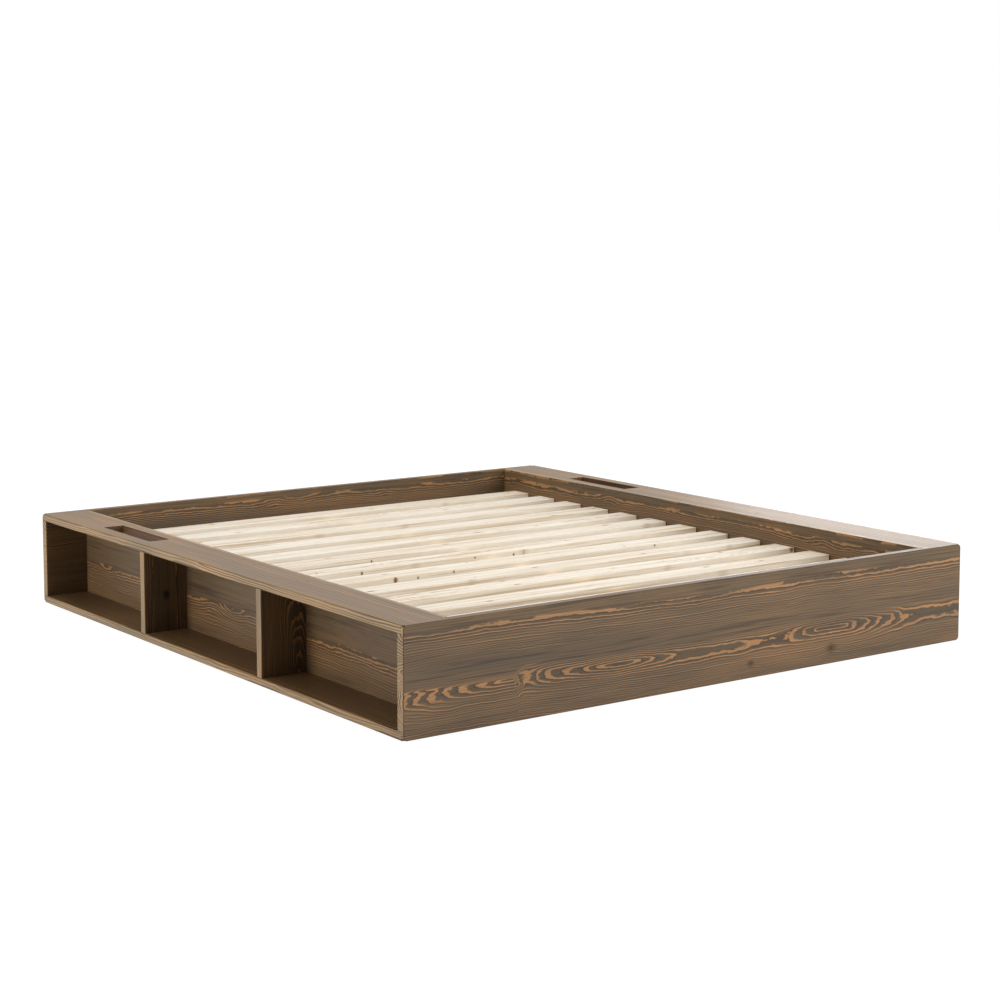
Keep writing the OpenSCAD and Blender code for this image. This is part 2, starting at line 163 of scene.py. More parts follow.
class BedPineSettings(bpy.types.PropertyGroup):
    """Colours and figure of the stained pine."""

    ground: bpy.props.FloatVectorProperty(
        name="Ground", description="Brown that the wood between the ring lines takes from the stain",
        default=(0.142, 0.094, 0.0515), subtype="COLOR", min=0.0, max=1.0,
    )
    latewood: bpy.props.FloatVectorProperty(
        name="Latewood", description="Orange tan that the hard bands near the heart keep",
        default=(0.325, 0.175, 0.077), subtype="COLOR", min=0.0, max=1.0,
    )
    ring_line: bpy.props.FloatVectorProperty(
        name="Ring line", description="Dark line at the end of each ring",
        default=(0.054, 0.034, 0.019), subtype="COLOR", min=0.0, max=1.0,
    )
    island: bpy.props.FloatVectorProperty(
        name="Island", description="Grey brown of the soft wood inside the loops",
        default=(0.088, 0.062, 0.036), subtype="COLOR", min=0.0, max=1.0,
    )
    edge: bpy.props.FloatVectorProperty(
        name="Edge", description="Lighter brown of the planed edges and ends",
        default=(0.400, 0.272, 0.150), subtype="COLOR", min=0.0, max=1.0,
    )
    knot: bpy.props.FloatVectorProperty(
        name="Knot", description="Dark red brown of a knot",
        default=(0.070, 0.034, 0.014), subtype="COLOR", min=0.0, max=1.0,
    )
    slot_tone: bpy.props.FloatVectorProperty(
        name="Slot tone", description="Tone of the walls of the slots in the top boards",
        default=(0.60, 0.50, 0.42), subtype="COLOR", min=0.0, max=1.0,
    )
    # Painted shade of the compartments: it darkens the panels' faces where they close them
    bay_painted_shade: bpy.props.FloatVectorProperty(
        name="Bay tone", description="Tone of the panels where they close the compartments",
        default=(0.69, 0.63, 0.56), subtype="COLOR", min=0.0, max=1.0,
    )
    line_width: bpy.props.FloatProperty(
        name="Line width", description="Width of a dark ring line", default=0.0026, unit="LENGTH",
    )
    roughness: bpy.props.FloatProperty(
        name="Roughness", description="Roughness of the stained and oiled face",
        default=0.48, subtype="FACTOR",
    )
    gloss: bpy.props.FloatProperty(
        name="Gloss", description="Specular level of the oiled face", default=0.30, subtype="FACTOR",
    )


class BedSlatSettings(bpy.types.PropertyGroup):
    """Colours and figure of the pale pine of the slats, rails and beam."""

    wood: bpy.props.FloatVectorProperty(
        name="Wood", description="Pale planed pine",
        default=(0.960, 0.860, 0.715), subtype="COLOR", min=0.0, max=1.0,
    )
    streak: bpy.props.FloatVectorProperty(
        name="Streak", description="Darker growth rings and streaks",
        default=(0.62, 0.46, 0.30), subtype="COLOR", min=0.0, max=1.0,
    )
    knot: bpy.props.FloatVectorProperty(
        name="Knot", description="Red brown of the small knots",
        default=(0.22, 0.115, 0.060), subtype="COLOR", min=0.0, max=1.0,
    )
    ring_gap: bpy.props.FloatProperty(
        name="Ring gap", description="Distance between two growth rings", default=0.0026, unit="LENGTH",
    )
    roughness: bpy.props.FloatProperty(
        name="Roughness", description="Roughness of planed, unfinished pine", default=0.62, subtype="FACTOR",
    )


class BedFittingSettings(bpy.types.PropertyGroup):
    """Colours of the fittings and the sizes of the staples that hold the tapes."""

    steel: bpy.props.FloatVectorProperty(
        name="Zinc", description="Zinc plate on brackets and screws",
        default=(0.56, 0.57, 0.58), subtype="COLOR", min=0.0, max=1.0,
    )
    plastic: bpy.props.FloatVectorProperty(
        name="Plastic", description="Moulded plastic of the glides",
        default=(0.035, 0.031, 0.028), subtype="COLOR", min=0.0, max=1.0,
    )
    webbing: bpy.props.FloatVectorProperty(
        name="Webbing", description="Woven cotton tape",
        default=(0.72, 0.69, 0.62), subtype="COLOR", min=0.0, max=1.0,
    )
    dowel: bpy.props.FloatVectorProperty(
        name="Dowel", description="Beech of the dowels",
        default=(0.60, 0.42, 0.26), subtype="COLOR", min=0.0, max=1.0,
    )
    staple_width: bpy.props.FloatProperty(
        name="Staple width", description="Length of a staple's crown", default=0.0105, unit="LENGTH",
    )
    staple_wire: bpy.props.FloatProperty(
        name="Staple wire", description="Thickness of a staple's wire", default=0.0011, unit="LENGTH",
    )
    staple_leg: bpy.props.FloatProperty(
        name="Staple leg", description="Length of a staple's legs, in the tape and the slat",
        default=0.008, unit="LENGTH",
    )
    staple_spacing: bpy.props.FloatProperty(
        name="Staple spacing", description="Distance between the two staples on a slat",
        default=0.045, unit="LENGTH",
    )


class BedStageSettings(bpy.types.PropertyGroup):
    """The studio: floor, lamps and camera."""

    floor_size: bpy.props.FloatProperty(
        name="Floor size", description="Side of the square floor", default=60.0, unit="LENGTH",
    )
    floor_colour: bpy.props.FloatVectorProperty(
        name="Floor", description="Pale floor",
        default=(0.82, 0.82, 0.82), subtype="COLOR", min=0.0, max=1.0,
    )
    ambient: bpy.props.FloatProperty(
        name="Ambient", description="Strength of the light from all round", default=0.24, min=0.0,
    )
    top_power: bpy.props.FloatProperty(
        name="Top power", description="Power of the soft lamp overhead", default=136.0, unit="POWER",
    )
    front_power: bpy.props.FloatProperty(
        name="Front power", description="Power of the soft lamp before the foot end",
        default=208.0, unit="POWER",
    )
    left_power: bpy.props.FloatProperty(
        name="Left power", description="Power of the soft lamp on the left", default=85.0, unit="POWER",
    )
    rim_power: bpy.props.FloatProperty(
        name="Rim power", description="Power of the low lamp behind, on the right",
        default=75.0, unit="POWER",
    )
    camera_place: bpy.props.FloatVectorProperty(
        name="Camera", description="Where the camera stands", default=(-3.672, -5.187, 1.342),
        subtype="TRANSLATION",
    )
    camera_turn: bpy.props.FloatProperty(
        name="Turn", description="How far the camera turns to the right of the bed's length",
        default=math.radians(35.785), subtype="ANGLE",
    )
    camera_tilt: bpy.props.FloatProperty(
        name="Tilt", description="How far the camera looks down",
        default=math.radians(6.065), subtype="ANGLE",
    )
    lens: bpy.props.FloatProperty(
        name="Lens", description="Focal length, for a sensor 36 mm wide", default=77.14,
        subtype="DISTANCE_CAMERA",
    )
    camera_shift: bpy.props.FloatProperty(
        name="Shift", description="Shift of the lens, which keeps the uprights nearly parallel",
        default=0.1,
    )


class Graph:
    """A node tree, with short words for the nodes that wood needs most."""

    def __init__(self, tree):
        self.tree = tree

    def feed(self, socket, value):
        """Links an output to a socket, or sets the socket. A colour is given without its alpha."""
        if isinstance(value, bpy.types.NodeSocket):
            self.tree.links.new(value, socket)
        elif socket.type == "RGBA":
            socket.default_value = (*value, 1.0)
        else:
            socket.default_value = value

    def add(self, kind, inputs=None, **settings):
        made = self.tree.nodes.new(kind)
        for name, value in settings.items():
            setattr(made, name, value)
        self.fill(made, inputs or {})
        return made

    def fill(self, node, inputs):
        for name, value in inputs.items():
            self.feed(node.inputs[name], value)

    def maths(self, operation, *values):
        made = self.add("ShaderNodeMath", operation=operation)
        for place, value in enumerate(values):
            self.feed(made.inputs[place], value)
        return made.outputs[0]

    def vector(self, operation, *values):
        made = self.add("ShaderNodeVectorMath", operation=operation)
        for place, value in enumerate(values):
            self.feed(made.inputs[place], value)
        return made.outputs["Value" if operation == "LENGTH" else "Vector"]

    def product(self, first, second):
        return self.maths("MULTIPLY", first, second)

    def slope(self, value, factor, start):
        """The start, plus factor for each whole that the value has."""
        return self.maths("MULTIPLY_ADD", value, factor, start)

    def larger(self, first, second):
        return self.maths("MAXIMUM", first, second)

    def coords(self, kind="Object"):
        return self.add("ShaderNodeTexCoord").outputs[kind]

    def parts(self, vector):
        """The outputs X, Y and Z of a vector."""
        return self.add("ShaderNodeSeparateXYZ", {"Vector": vector}).outputs

    def point(self, x, y=0.0, z=0.0):
        return self.add("ShaderNodeCombineXYZ", {"X": x, "Y": y, "Z": z}).outputs[0]

    def noise(self, place, seed, scales, detail=2.0, roughness=0.5):
        """Noise of 0 to 1, stretched by the scales. The seed moves it to another part of the pattern."""
        away = self.point(seed, seed, seed) if isinstance(seed, bpy.types.NodeSocket) else (seed, seed, seed)
        stretched = self.vector("MULTIPLY_ADD", place, scales, away)
        values = {"Vector": stretched, "Scale": 1.0, "Detail": detail, "Roughness": roughness}
        return self.add("ShaderNodeTexNoise", values).outputs["Fac"]

    def swing(self, place, seed, scales, size, detail=1.0):
        """Noise about zero that reaches roughly half of size either way."""
        level = self.maths("SUBTRACT", self.noise(place, seed, scales, detail), 0.5)
        return self.product(level, size)

    def total(self, *values):
        """The sum of several values."""
        result = values[0]
        for value in values[1:]:
            result = self.maths("ADD", result, value)
        return result

    def between(self, share, first, second):
        """The first value where share is 0, the second where it is 1."""
        change = self.maths("SUBTRACT", second, first)
        return self.slope(share, change, first)

    def step(self, value, low, high):
        """0 below low and 1 above high, smooth between; low may be the larger."""
        made = self.add(
            "ShaderNodeMapRange", {"Value": value, "From Min": low, "From Max": high},
            interpolation_type="SMOOTHSTEP",
        )
        return made.outputs["Result"]

    def mix(self, factor, first, second, blend="MIX"):
        made = self.add("ShaderNodeMix", data_type="RGBA", blend_type=blend)
        self.feed(made.inputs[0], factor)
        self.feed(made.inputs[6], first)
        self.feed(made.inputs[7], second)
        return made.outputs[2]

    def toned(self, colour, tone, share=1.0):
        """A colour multiplied by a tone, in full or in part."""
        return self.mix(share, colour, tone, "MULTIPLY")

    def ramp(self, factor, *stops):
        """A colour that changes with a factor of 0 to 1, through stops of (place, colour)."""
        made = self.add("ShaderNodeValToRGB", {"Fac": factor})
        line = made.color_ramp
        while len(line.elements) < len(stops):
            line.elements.new(1.0)
        for element, (place, colour) in zip(line.elements, stops):
            element.position = place
            element.color = (*colour, 1.0)
        return made.outputs["Color"]

    def profile(self, place, points, size):
        """A value that changes along a board from -size to size: a number, or points of (place, value)."""
        if not isinstance(points, tuple):
            return points
        values = [value for _, value in points]
        low = min(values)
        rise = max(values) - low
        share = self.slope(place, 0.5 / size, 0.5)
        made = self.add("ShaderNodeFloatCurve", {"Value": share})
        line = made.mapping.curves[0]
        while len(line.points) < len(points):
            line.points.new(0.5, 0.5)
        for point, (along, value) in zip(line.points, points):
            point.location = (along * 0.5 / size + 0.5, (value - low) / rise)
        made.mapping.update()
        return self.slope(made.outputs[0], rise, low)

    def bump(self, height, distance, strength):
        made = self.add("ShaderNodeBump", {"Height": height, "Distance": distance, "Strength": strength})
        return made.outputs["Normal"]


def scaled(colour, share):
    return tuple(share * part for part in colour)


def new_group(name, inputs, outputs):
    """A node group with float inputs, and a vector named Place, and its Graph."""
    tree = bpy.data.node_groups.new(name, "ShaderNodeTree")
    tree.interface.new_socket("Place", in_out="INPUT", socket_type="NodeSocketVector")
    for title in inputs:
        tree.interface.new_socket(title, in_out="INPUT", socket_type="NodeSocketFloat")
    for title in outputs:
        tree.interface.new_socket(title, in_out="OUTPUT", socket_type="NodeSocketFloat")
    graph = Graph(tree)
    return tree, graph, graph.add("NodeGroupInput").outputs, graph.add("NodeGroupOutput").inputs


# The numbers of the wood come in three forms. A noise has its scales along, across and through the
# board, then how far it moves the rings from end to end where it ends in RINGS or YEARS, then how fine
# it is and how rough. A pair that goes to a step is where the step begins and where it is whole. A pair
# that goes to a slope is (factor, start). Lengths are in metres. Each noise adds a number of its own
# to the board's seed, so that no two are alike.

# How much closer the rings lie with each metre from the pith, as a share of their gap there
RING_TIGHTENING = 5.0
# 2 gives round rings; more keeps them straight beside the heart
RING_SQUARENESS = 2.8
BENT_RINGS = ((2.2, 1.5, 0.0), 0.016)
DIPPING_RINGS = ((2.8, 0.0, 0.0), 0.034)
RAGGED_RINGS = ((9.0, 60.0, 9.0), 0.012, 2.0)
SLOW_RINGS = ((3.0, 4.0, 2.0), 0.022)
WAVY_RINGS = ((12.0, 20.0, 8.0), 0.0090)
JAGGED_RINGS = ((42.0, 110.0, 40.0), 0.0052, 3.0)
UNEVEN_YEARS = ((0.45, 0.0, 0.0), 1.5, 0.0)
# How far into the noise the rings of the next heart lie
NEXT_HEART = 5.3
# From which width on plain wood counts, and how softly it ends
PLAIN_THERE = (0.0, 0.004)
PLAIN_END = (0.0045, 0.0)
# Fading by how much of it the board asks for, then where it starts and ends above the heart
FADING_THERE = (0.0, 0.3)
FADING_NEAR = (0.5, 1.0)
FADE_START = (-0.018, 0.024)
FADE_WIDTH = 0.010
FADE_END = (0.074, 0.052)
# How much closer the rings lie where they fade, and where that starts and ends
TIGHTER = (2.1, 0.5)
TIGHTER_START = (-0.003, 0.006)
TIGHTER_END = (0.060, 0.020)
# How near the heart its bands are whole, as a share of their reach, and the least reach
HEART_CORE = 0.35
LEAST_REACH = 0.0001
# How far from the heart the rings wander in full, and after how many years they lie unevenly
BESIDE_HEART = (0.0, 0.030)
FIRST_YEARS = (1.0, 6.0)


def ring_group():
    """Growth rings as a saw cuts them.

    Count is how many rings lie between a point and the pith, Rate how many there are to a metre of
    the face, Heart is 1 along a heart and 0 from Reach beyond it, and Quiet is 1 where no ring shows.
    """
    tree, graph, given, result = new_group(
        "Growth rings",
        ("Heart", "Depth", "Spacing", "Plain", "Next depth", "Next plain", "Above", "Gap", "Reach", "Wave",
         "Seed", "Steep", "Lift"),
        ("Count", "Rate", "Heart", "Quiet"),
    )
    place = given["Place"]
    seed = given["Seed"]
    wave = given["Wave"]
    parts = graph.parts(place)
    half_spacing = graph.product(given["Spacing"], 0.5)
    line = graph.total(given["Heart"], graph.product(graph.swing(place, seed, *BENT_RINGS), wave))
    across = graph.maths("SUBTRACT", parts["Y"], line)

    # Beyond half the spacing lies the next heart, whose rings wander in their own way
    beyond = graph.maths("GREATER_THAN", graph.maths("ABSOLUTE", across), half_spacing)
    own_place = graph.vector("ADD", place, graph.point(graph.product(beyond, NEXT_HEART)))
    plain = graph.between(beyond, given["Plain"], given["Next plain"])
    has_plain = graph.step(plain, *PLAIN_THERE)
    dips = graph.product(graph.swing(place, seed, *DIPPING_RINGS), has_plain)
    depth = graph.larger(graph.between(beyond, given["Depth"], given["Next depth"]), 0.0)
    depth = graph.total(graph.maths("ABSOLUTE", graph.total(depth, dips)),
                        graph.product(parts["Z"], given["Steep"]))

    # Plain wood over the heart, and the wood above it where the rings fade
    outside = graph.maths("SUBTRACT", graph.maths("PINGPONG", across, half_spacing), plain)
    ragged = graph.swing(place, seed, *RAGGED_RINGS)
    bare = graph.product(graph.step(graph.total(outside, ragged), *PLAIN_END), has_plain)
    any_fading = graph.step(given["Above"], *FADING_THERE)
    near = graph.step(given["Above"], *FADING_NEAR)
    start = graph.slope(near, *FADE_START)
    faded = graph.step(across, start, graph.total(start, FADE_WIDTH))
    faded = graph.product(graph.product(faded, graph.step(across, *FADE_END)), any_fading)
    graph.feed(result["Quiet"], graph.larger(bare, faded))

    # Rings lie closer together where they fade
    tighter = graph.product(any_fading, graph.slope(near, *TIGHTER))
    tighter = graph.product(graph.step(across, *TIGHTER_START), tighter)
    tighter = graph.product(tighter, graph.step(across, *TIGHTER_END))
    from_heart = graph.product(graph.larger(outside, 0.0), graph.total(tighter, 1.0))
    reach = graph.total(given["Reach"], LEAST_REACH)
    heart = graph.step(from_heart, reach, graph.product(reach, HEART_CORE))
    graph.feed(result["Heart"], heart)

    # The distance from the pith, which the wandering rings turn into a count of years
    powers = graph.total(graph.maths("POWER", from_heart, RING_SQUARENESS),
                         graph.maths("POWER", depth, RING_SQUARENESS))
    radius = graph.maths("POWER", powers, 1.0 / RING_SQUARENESS)
    beside = graph.step(from_heart, *BESIDE_HEART)
    slow = graph.product(graph.swing(own_place, seed, *SLOW_RINGS), beside)
    wavy = graph.product(graph.swing(own_place, seed, *WAVY_RINGS), beside)
    jags = graph.product(graph.swing(own_place, seed, *JAGGED_RINGS), heart)
    wander = graph.product(graph.total(slow, wavy, jags), wave)
    length = graph.total(radius, wander, given["Lift"])
    density = graph.total(graph.product(radius, RING_TIGHTENING), 1.0)
    count = graph.maths("DIVIDE", graph.product(length, density), given["Gap"])
    change = graph.product(graph.swing(graph.point(count), seed, *UNEVEN_YEARS),
                           graph.step(count, *FIRST_YEARS))
    graph.feed(result["Count"], graph.total(count, change))
    slope = graph.maths("POWER", graph.maths("DIVIDE", from_heart, radius), RING_SQUARENESS - 1.0)
    graph.feed(result["Rate"], graph.maths("DIVIDE", graph.product(slope, density), given["Gap"]))
    return tree


def eye_group():
    """A bulge of the rings: Lift is greatest at its middle, Near runs from 0 there to 1 at its reach."""
    tree, graph, given, result = new_group(
        "Wood eye", ("Along", "Across", "Reach", "Size", "Length"), ("Lift", "Near"))
    away = graph.vector("SUBTRACT", given["Place"], graph.point(given["Along"], given["Across"]))
    flat = graph.point(graph.maths("DIVIDE", 1.0, given["Length"]), 1.0)
    away = graph.vector("LENGTH", graph.vector("MULTIPLY", away, flat))
    share = graph.maths("DIVIDE", away, given["Reach"])
    fall = graph.maths("POWER", math.e, graph.product(graph.product(share, share), -1.0))
    graph.feed(result["Lift"], graph.product(fall, given["Size"]))
    graph.feed(result["Near"], share)
    return tree


def wood_groups():
    """The node groups that all the wood shares, made once."""
    made = {}
    for key, title, maker in (("rings", "Growth rings", ring_group), ("eye", "Wood eye", eye_group)):
        made[key] = bpy.data.node_groups.get(title) or maker()
    return made


def board_place(graph, node, way, face):
    """Object coordinates from the board's middle: along it, across it, and down from its face."""
    low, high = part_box(node)
    size = high - low
    half = [size["XYZ".index(axis)] / 2 for axis in way]
    centred = graph.add("ShaderNodeMapping", {"Vector": graph.coords(), "Location": -(low + high) / 2})
    parts = graph.parts(centred.outputs[0])
    down = graph.slope(parts[way[2]], -face, half[2])
    return graph.point(parts[way[0]], parts[way[1]], down), half


def new_material(name):
    """An empty material, its Graph and its surface shader."""
    material = bpy.data.materials.new(name)
    material.use_nodes = True
    return material, Graph(material.node_tree), material.node_tree.nodes["Principled BSDF"]


# Parts of the normal: a face counts as an edge as the part along the thickness falls, and as an arris
# where no part comes near 1
LEANING = (0.80, 0.35)
ARRIS = (0.985, 0.90)
# How far from a board's end or edge its mask starts and is whole
END_STARTS = 0.003
END_WHOLE = 0.0015


def edge_masks(graph, way, parts, half):
    """1 on a board's sawn ends, on its long edges, on all that isn't its faces, and on its arrises."""
    sides = graph.parts(graph.vector("ABSOLUTE", graph.coords("Normal")))
    sideways = graph.step(sides[way[2]], *LEANING)
    masks = []
    for axis, reach in zip("XY", half):
        far = graph.step(graph.maths("ABSOLUTE", parts[axis]), reach - END_STARTS, reach - END_WHOLE)
        masks.append(graph.product(sideways, far))
    ends, long_edges = masks
    if way == LYING_ACROSS:
        sideways = ends
        long_edges = graph.product(long_edges, 0.0)
    flattest = graph.larger(graph.larger(sides["X"], sides["Y"]), sides["Z"])
    return ends, long_edges, sideways, graph.step(flattest, *ARRIS)


# A knot's reach and lift as shares of its radius, and how much longer than wide knots and eyes are
KNOT_REACH = 1.6
KNOT_LIFT = 0.6
KNOT_LENGTH = 1.35
EYE_LENGTH = 2.5


def swellings(graph, groups, place, sawn):
    """What the eyes and knots of a board add to its rings, and how near each knot is."""
    marks = [(*eye, EYE_LENGTH) for eye in sawn.eyes]
    marks += [(along, across, KNOT_REACH * radius, KNOT_LIFT * radius, KNOT_LENGTH)
              for along, across, radius in sawn.knots]
    made = []
    for mark in marks:
        values = dict(zip(("Along", "Across", "Reach", "Size", "Length"), mark), Place=place)
        made.append(graph.add("ShaderNodeGroup", values, node_tree=groups["eye"]).outputs)
    lift = graph.total(0.0, *(eye["Lift"] for eye in made))
    return lift, [eye["Near"] for eye in made[len(sawn.eyes):]]


# A knot from its middle outwards, as shares of its reach: the tone of its wood by place, where that
# wood ends, and where the halo round it ends and how strong the halo is
KNOT_TONES = ((0.00, 0.6), (0.16, 0.8), (0.30, 1.7), (0.42, 1.2))
KNOT_EDGE = (0.52, 0.36)
HALO_EDGE = (0.95, 0.42)
HALO_STRENGTH = 0.40


def draw_knot(graph, colour, near, core, around):
    """Lays one knot over a colour: a dark core, red brown wood round it and a soft halo."""
    halo = graph.product(graph.step(near, *HALO_EDGE), HALO_STRENGTH)
    colour = graph.mix(halo, colour, around)
    heartwood = graph.ramp(near, *((place, scaled(core, tone)) for place, tone in KNOT_TONES))
    return graph.mix(graph.step(near, *KNOT_EDGE), colour, heartwood)


def uneven(graph, noise, middle, spread):
    """A value that follows a noise, half of spread either way of its middle."""
    return graph.total(graph.product(noise, spread), middle - spread / 2)


# What bends the rings where their depth changes along a board
ARC_RINGS = ((11.0, 45.0, 6.0), 0.050, 2.0)


def board_rings(graph, groups, sawn, place, parts, half):
    """The growth rings of a board, and how near each of its knots is."""
    lift, knots = swellings(graph, groups, place, sawn)
    along = graph.total(parts["X"], graph.swing(place, sawn.seed + 6.0, *ARC_RINGS))
    values = {
        "Place": place,
        "Heart": graph.profile(parts["X"], sawn.heart, half[0]),
        "Depth": graph.profile(along, sawn.depth, half[0]),
        "Above": graph.profile(parts["X"], sawn.above, half[0]),
        "Lift": lift,
    }
    for title in ("Spacing", "Plain", "Next depth", "Next plain", "Gap", "Reach", "Wave", "Seed", "Steep"):
        values[title] = getattr(sawn, title.lower().replace(" ", "_"))
    return graph.add("ShaderNodeGroup", values, node_tree=groups["rings"]).outputs, knots


# The rings that show on a board's long edges: their gap, and what moves them, in rings
EDGE_GAP = 0.0068
EDGE_RINGS = ((1.6, 0.0, 30.0), 4.0)
EDGE_WAVE_RINGS = ((9.0, 0.0, 30.0), 1.2)


def ring_count(graph, sawn, place, parts, count, long_edges):
    """How many years a point lies from the pith. The long edges count their own."""
    own = graph.total(graph.maths("DIVIDE", parts["Z"], EDGE_GAP),
                      graph.swing(place, sawn.seed, *EDGE_RINGS),
                      graph.swing(place, sawn.seed, *EDGE_WAVE_RINGS))
    return graph.between(graph.maths("GREATER_THAN", long_edges, 0.5), count, own)


# What a ring shows. Widths and places are shares of the ring, strengths are shares of full strength.
SHOWN_WHERE_QUIET = (-0.95, 1.0)
# How uneven the strength of the years is: 1 spreads it evenly, more leaves few strong ones
YEAR_CONTRAST = 2.4
THINNEST_LINE = 0.18
WIDEST_LINE = 0.46
EDGE_LINE = 0.58
LINE_WHOLE = (-0.55, 1.0)
LINE_TAIL = (0.06, 0.0)
DASHES = ((4.0, 34.0, 10.0), 1.0)
DASHED = (0.35, 0.65)
LINE_BY_YEAR = (0.80, 0.46)
LINE_BY_DASH = 0.22
LINE_BY_HEART = 0.35
STRONGEST_LINE = 0.95
PATCHES = ((3.0, 16.0, 5.0), 1.0)
PATCHY = (0.34, 0.62)
BAND_START = (-0.16, 0.54)
BAND_SOFTNESS = 0.10
BAND_BY_PATCH = (0.45, 0.50)
BAND_BY_YEAR = (0.95, 0.24)
ISLAND_END = (0.54, 0.36)


def ring_marks(graph, sawn, look, place, rings, count, edges):
    """How strongly a ring's dark line, orange band and soft island show, and where any band lies."""
    heart = rings["Heart"]
    ring = graph.maths("FRACT", count)
    dice = graph.add("ShaderNodeTexWhiteNoise", {"W": graph.maths("FLOOR", count)}, noise_dimensions="1D")
    year = graph.maths("POWER", dice.outputs["Value"], YEAR_CONTRAST)
    shown = graph.larger(graph.slope(rings["Quiet"], *SHOWN_WHERE_QUIET), edges)
    strength = graph.product(graph.larger(edges, sawn.strength), shown)

    share = graph.larger(graph.product(rings["Rate"], look.line_width), THINNEST_LINE)
    share = graph.between(edges, graph.maths("MINIMUM", share, WIDEST_LINE), EDGE_LINE)
    start = graph.maths("SUBTRACT", 1.0, share)
    end = graph.slope(share, *LINE_WHOLE)
    line = graph.larger(graph.step(ring, start, end), graph.step(ring, *LINE_TAIL))
    dashes = graph.step(graph.noise(place, sawn.seed + 2.0, *DASHES), *DASHED)
    line_strength = graph.total(graph.slope(year, *LINE_BY_YEAR),
                                graph.product(dashes, LINE_BY_DASH), graph.product(heart, LINE_BY_HEART))
    line_strength = graph.maths("MINIMUM", line_strength, STRONGEST_LINE)
    line = graph.product(line, graph.product(line_strength, strength))

    patchy = graph.step(graph.noise(place, sawn.seed + 1.0, *PATCHES), *PATCHY)
    start = graph.slope(patchy, *BAND_START)
    any_band = graph.step(ring, start, graph.total(start, BAND_SOFTNESS))
    near_heart = graph.product(heart, graph.slope(patchy, *BAND_BY_PATCH))
    band_strength = graph.total(near_heart, graph.slope(year, *BAND_BY_YEAR))
    band_strength = graph.maths("MINIMUM", band_strength, 1.0)
    band = graph.product(any_band, graph.product(band_strength, strength))
    island = graph.product(graph.product(heart, graph.step(ring, *ISLAND_END)), shown)
    return line, band, island, any_band


# The wood under the lines: how much plain wood greys, its rifts, and its own faint lines, which have
# a gap in metres and are moved in gaps
PLAIN_GREYING = 0.26
RIFTS = ((3.5, 120.0, 120.0), 2.0)
RIFT_EDGE = (0.52, 0.66)
RIFT_BY_PLAIN = (0.45, 0.28)
PLAIN_GAP = 0.0075
PLAIN_RINGS = ((1.8, 9.0, 6.0), 5.0, 2.0)
PLAIN_LINE = (0.50, 0.85)
PLAIN_LINE_STRENGTH = 0.34


def stained_ground(graph, sawn, look, place, parts, island, quiet):
    """The stained wood under the ring lines: islands, rifts and the faint lines of plain wood."""
    ground = graph.mix(island, look.ground, look.island)
    ground = graph.mix(graph.product(quiet, PLAIN_GREYING), ground, look.island)
    rifts = graph.step(graph.noise(place, sawn.seed + 7.0, *RIFTS), *RIFT_EDGE)
    rifts = graph.product(rifts, graph.slope(quiet, *RIFT_BY_PLAIN))
    ground = graph.mix(rifts, ground, look.ring_line)
    fine = graph.total(graph.maths("DIVIDE", parts["Y"], PLAIN_GAP),
                       graph.swing(place, sawn.seed + 8.0, *PLAIN_RINGS))
    fine = graph.product(graph.step(graph.maths("FRACT", fine), *PLAIN_LINE), quiet)
    return graph.mix(graph.product(fine, PLAIN_LINE_STRENGTH), ground, look.ring_line)


# Where the compartments start, from the bed's middle, and how softly the painted shade of the panels starts
# there
BAY_START = 0.809
BAY_SOFTNESS = 0.002
# How softly that painted shade ends inside a panel, as a share of half its thickness
PANEL_SOFTNESS = 0.2


def board_tone_and_painted_shade(graph, node, sawn, look, parts, half, edges, sideways):
    """What tones a board: its own tone, that of a slot's walls, and the painted shade on the panels at a
    compartment's ends.
    """
    walls = graph.maths("SUBTRACT", sideways, edges)
    tone = graph.mix(edges, sawn.tone, WHITE)
    tone = graph.mix(walls, tone, look.slot_tone)
    if sawn.way == LYING_ACROSS:
        # Painted shade: the panels' inner faces are darkened where they close the compartments, for the
        # shade inside them
        inwards = -PANEL_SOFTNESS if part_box(node)[0].y > 0 else PANEL_SOFTNESS
        bay_shade_mask = graph.product(
            graph.step(parts["Z"], half[2], (1.0 + inwards) * half[2]),
            graph.step(graph.maths("ABSOLUTE", parts["X"]), BAY_START - BAY_SOFTNESS, BAY_START))
        bay_shade_mask = graph.product(bay_shade_mask, graph.maths("SUBTRACT", 1.0, edges))
        tone = graph.toned(tone, look.bay_painted_shade, bay_shade_mask)
    return tone


# The light band and the dark line on a board's edges, as shares of the edge's colour
EDGE_LIGHT = (1.45, 1.30, 1.05)
EDGE_DARK = 0.26
# Broad and fine changes of tone along the grain, each with its stops
DRIFT = ((1.6, 11.0, 3.0), 2.0)
DRIFT_TONES = ((0.30, (0.80, 0.84, 0.90)), (0.70, (1.22, 1.15, 1.05)))
STREAKS = ((5.0, 300.0, 300.0), 2.0, 0.6)
STREAK_TONES = ((0.28, (0.80, 0.80, 0.80)), (0.72, (1.19, 1.19, 1.19)))
FIBRES = ((20.0, 900.0, 900.0), 1.0)
ROUGHNESS_SPREAD = 0.16
ARRIS_ROUGHNESS = 0.80
ARRIS_GLOSS = 0.05
# What stands out, as shares of the relief, and the relief's height and strength
BAND_RELIEF = 0.6
FIBRE_RELIEF = 0.4
RELIEF = (0.0002, 0.5)


